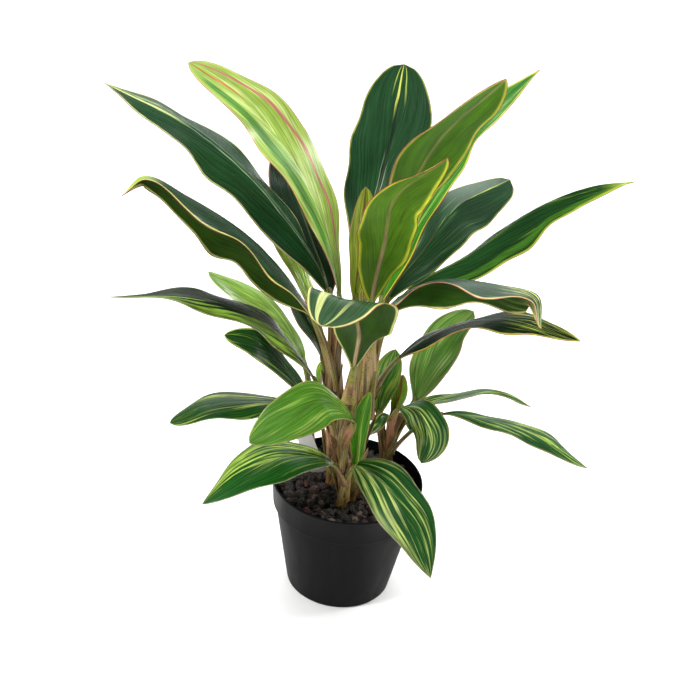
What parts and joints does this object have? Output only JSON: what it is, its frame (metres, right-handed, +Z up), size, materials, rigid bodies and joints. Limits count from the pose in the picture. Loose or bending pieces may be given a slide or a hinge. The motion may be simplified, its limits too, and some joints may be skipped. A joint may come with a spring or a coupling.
{
  "type": "potted dracaena",
  "caption": "Leafy house plant with broad arching striped leaves on slim canes, standing in dark gravel in a round black nursery pot.",
  "frame": {"origin": "middle of the pot's base, on the surface that it stands on", "axes": "+Z up along the pot's axis, -Y towards the front, where the label leans to the left, +X to the right of the front view"},
  "size_m": [0.5054, 0.3108, 0.5653],
  "materials": {
    "pot_plastic": "satin",
    "lava_gravel": "matte",
    "label_plastic": "satin",
    "cane_bark": "satin",
    "leaf_dark": "satin",
    "leaf_striped": "satin",
    "leaf_lime": "satin"
  },
  "bodies": {
    "root": {"pot": "pot_plastic", "soil": "lava_gravel", "plant_label": "label_plastic", "cane_front": "cane_bark", "cane_back": "cane_bark", "cane_right": "cane_bark", "cane_cluster": "cane_bark", "cane_side": "cane_bark", "leaf_01": "leaf_dark", "leaf_02": "leaf_lime", "leaf_03": "leaf_dark", "leaf_04": "leaf_lime", "leaf_05": "leaf_dark", "leaf_06": "leaf_dark", "leaf_07": "leaf_lime", "leaf_08": "leaf_lime", "leaf_09": "leaf_dark", "leaf_10": "leaf_dark", "leaf_11": "leaf_dark", "leaf_12": "leaf_striped", "leaf_13": "leaf_dark", "leaf_14": "leaf_lime", "leaf_15": "leaf_striped", "leaf_16": "leaf_striped", "leaf_17": "leaf_striped", "leaf_18": "leaf_lime", "leaf_19": "leaf_striped", "leaf_20": "leaf_striped", "leaf_21": "leaf_striped", "leaf_22": "leaf_striped", "leaf_23": "leaf_striped", "leaf_24": "leaf_striped", "leaf_25": "leaf_lime", "leaf_26": "leaf_striped", "leaf_27": "leaf_striped", "leaf_28": "leaf_dark", "leaf_29": "leaf_lime", "leaf_30": "leaf_dark", "leaf_31": "leaf_lime", "leaf_32": "leaf_lime"}
  },
  "joints": []
}
